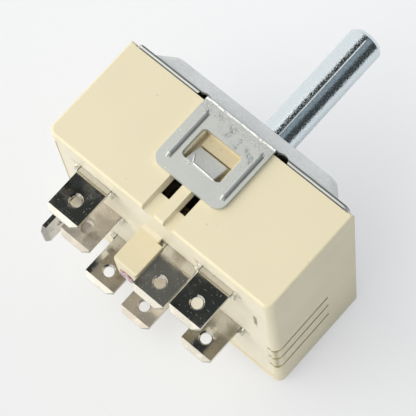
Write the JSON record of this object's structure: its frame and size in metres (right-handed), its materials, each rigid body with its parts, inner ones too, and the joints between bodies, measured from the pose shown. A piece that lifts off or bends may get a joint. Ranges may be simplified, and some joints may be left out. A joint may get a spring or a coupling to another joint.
{
  "type": "cooktop element switch",
  "caption": "Boxy rotary power regulator for a cooktop element: cream moulded case, clipped steel front plate, round control shaft and blade terminals at the back.",
  "frame": {"origin": "where the shaft axis meets the plateau's outer mounting face, midway between the two fixing screw holes", "axes": "-Y along the shaft towards the knob, +Y towards the blade terminals, +Z to the broad face with the calibration block's flat side, X across the case"},
  "size_m": [0.0454, 0.0591, 0.0443],
  "materials": {
    "cream_moulding": "moulded thermoset, satin",
    "cream_base": "moulded thermoset, satin",
    "zinc_plate": "zinc-plated sheet steel",
    "bush": "turned steel",
    "plated_shaft": "bright zinc-plated steel",
    "spring_ring": "blackened spring steel",
    "cam_moulding": "brown moulding",
    "pressed_lever": "pressed steel",
    "pin_steel": "turned steel",
    "bimetal": "rolled bimetal",
    "heater_card": "mica card with resistance wire",
    "bead_ceramic": "fired ceramic",
    "spring_bronze": "phosphor bronze strip",
    "contact_silver": "silver contact",
    "screw_brass": "turned brass",
    "lacquer": "thread lacquer",
    "tab_plating": "nickel-plated brass strip"
  },
  "bodies": {
    "case": {"housing": "cream_moulding", "terminal_base": "cream_base", "front_plate": "zinc_plate", "bearing_bush": "bush", "lever_pin": "pin_steel", "fixed_contacts": "contact_silver", "calibration_screw": "screw_brass", "seal": "lacquer", "terminal_1": "tab_plating", "terminal_2": "tab_plating", "terminal_3": "tab_plating", "terminal_4": "tab_plating", "terminal_5": "tab_plating", "terminal_6": "tab_plating", "terminal_7": "tab_plating", "terminal_8": "tab_plating"},
    "rotor": {"shaft": "plated_shaft", "shaft_ring": "spring_ring", "control_cam": "cam_moulding"},
    "lever": {"follower_lever": "pressed_lever", "bimetal_strip": "bimetal", "heater": "heater_card", "push_bead": "bead_ceramic"},
    "snap_arm": {"snap_spring": "spring_bronze", "snap_contact": "contact_silver"},
    "pole_arm_1": {"pole_spring_1": "spring_bronze", "pole_contact_1": "contact_silver"},
    "pole_arm_2": {"pole_spring_2": "spring_bronze", "pole_contact_2": "contact_silver"}
  },
  "joints": [
    {"name": "shaft_turn", "type": "hinge", "parent": "case", "child": "rotor", "pos_m": [0, 0, 0], "axis": [0, 1, 0], "range_deg": [0, 300]},
    {"name": "lever_swing", "type": "hinge", "parent": "case", "child": "lever", "pos_m": [-0.016, 0.0081, 0.01], "axis": [0, 1, 0], "range_deg": [0, 8.8]},
    {"name": "snap_flex", "type": "hinge", "parent": "case", "child": "snap_arm", "pos_m": [-0.0186, 0.0085, -0.01525], "axis": [0, 1, 0], "range_deg": [0, 2], "stiffness_Nm_per_rad": 0.05},
    {"name": "pole_1_flex", "type": "hinge", "parent": "case", "child": "pole_arm_1", "pos_m": [0.00955, 0.0124, 0.0128], "axis": [0, -1, 0], "range_deg": [0, 1.5], "stiffness_Nm_per_rad": 0.05},
    {"name": "pole_2_flex", "type": "hinge", "parent": "case", "child": "pole_arm_2", "pos_m": [-0.01285, 0.0124, 0.00955], "axis": [0, -1, 0], "range_deg": [0, 1.5], "stiffness_Nm_per_rad": 0.05}
  ],
  "couplings": [
    {"joint": "lever_swing", "follows": "shaft_turn", "ratio": 0.029289}
  ]
}
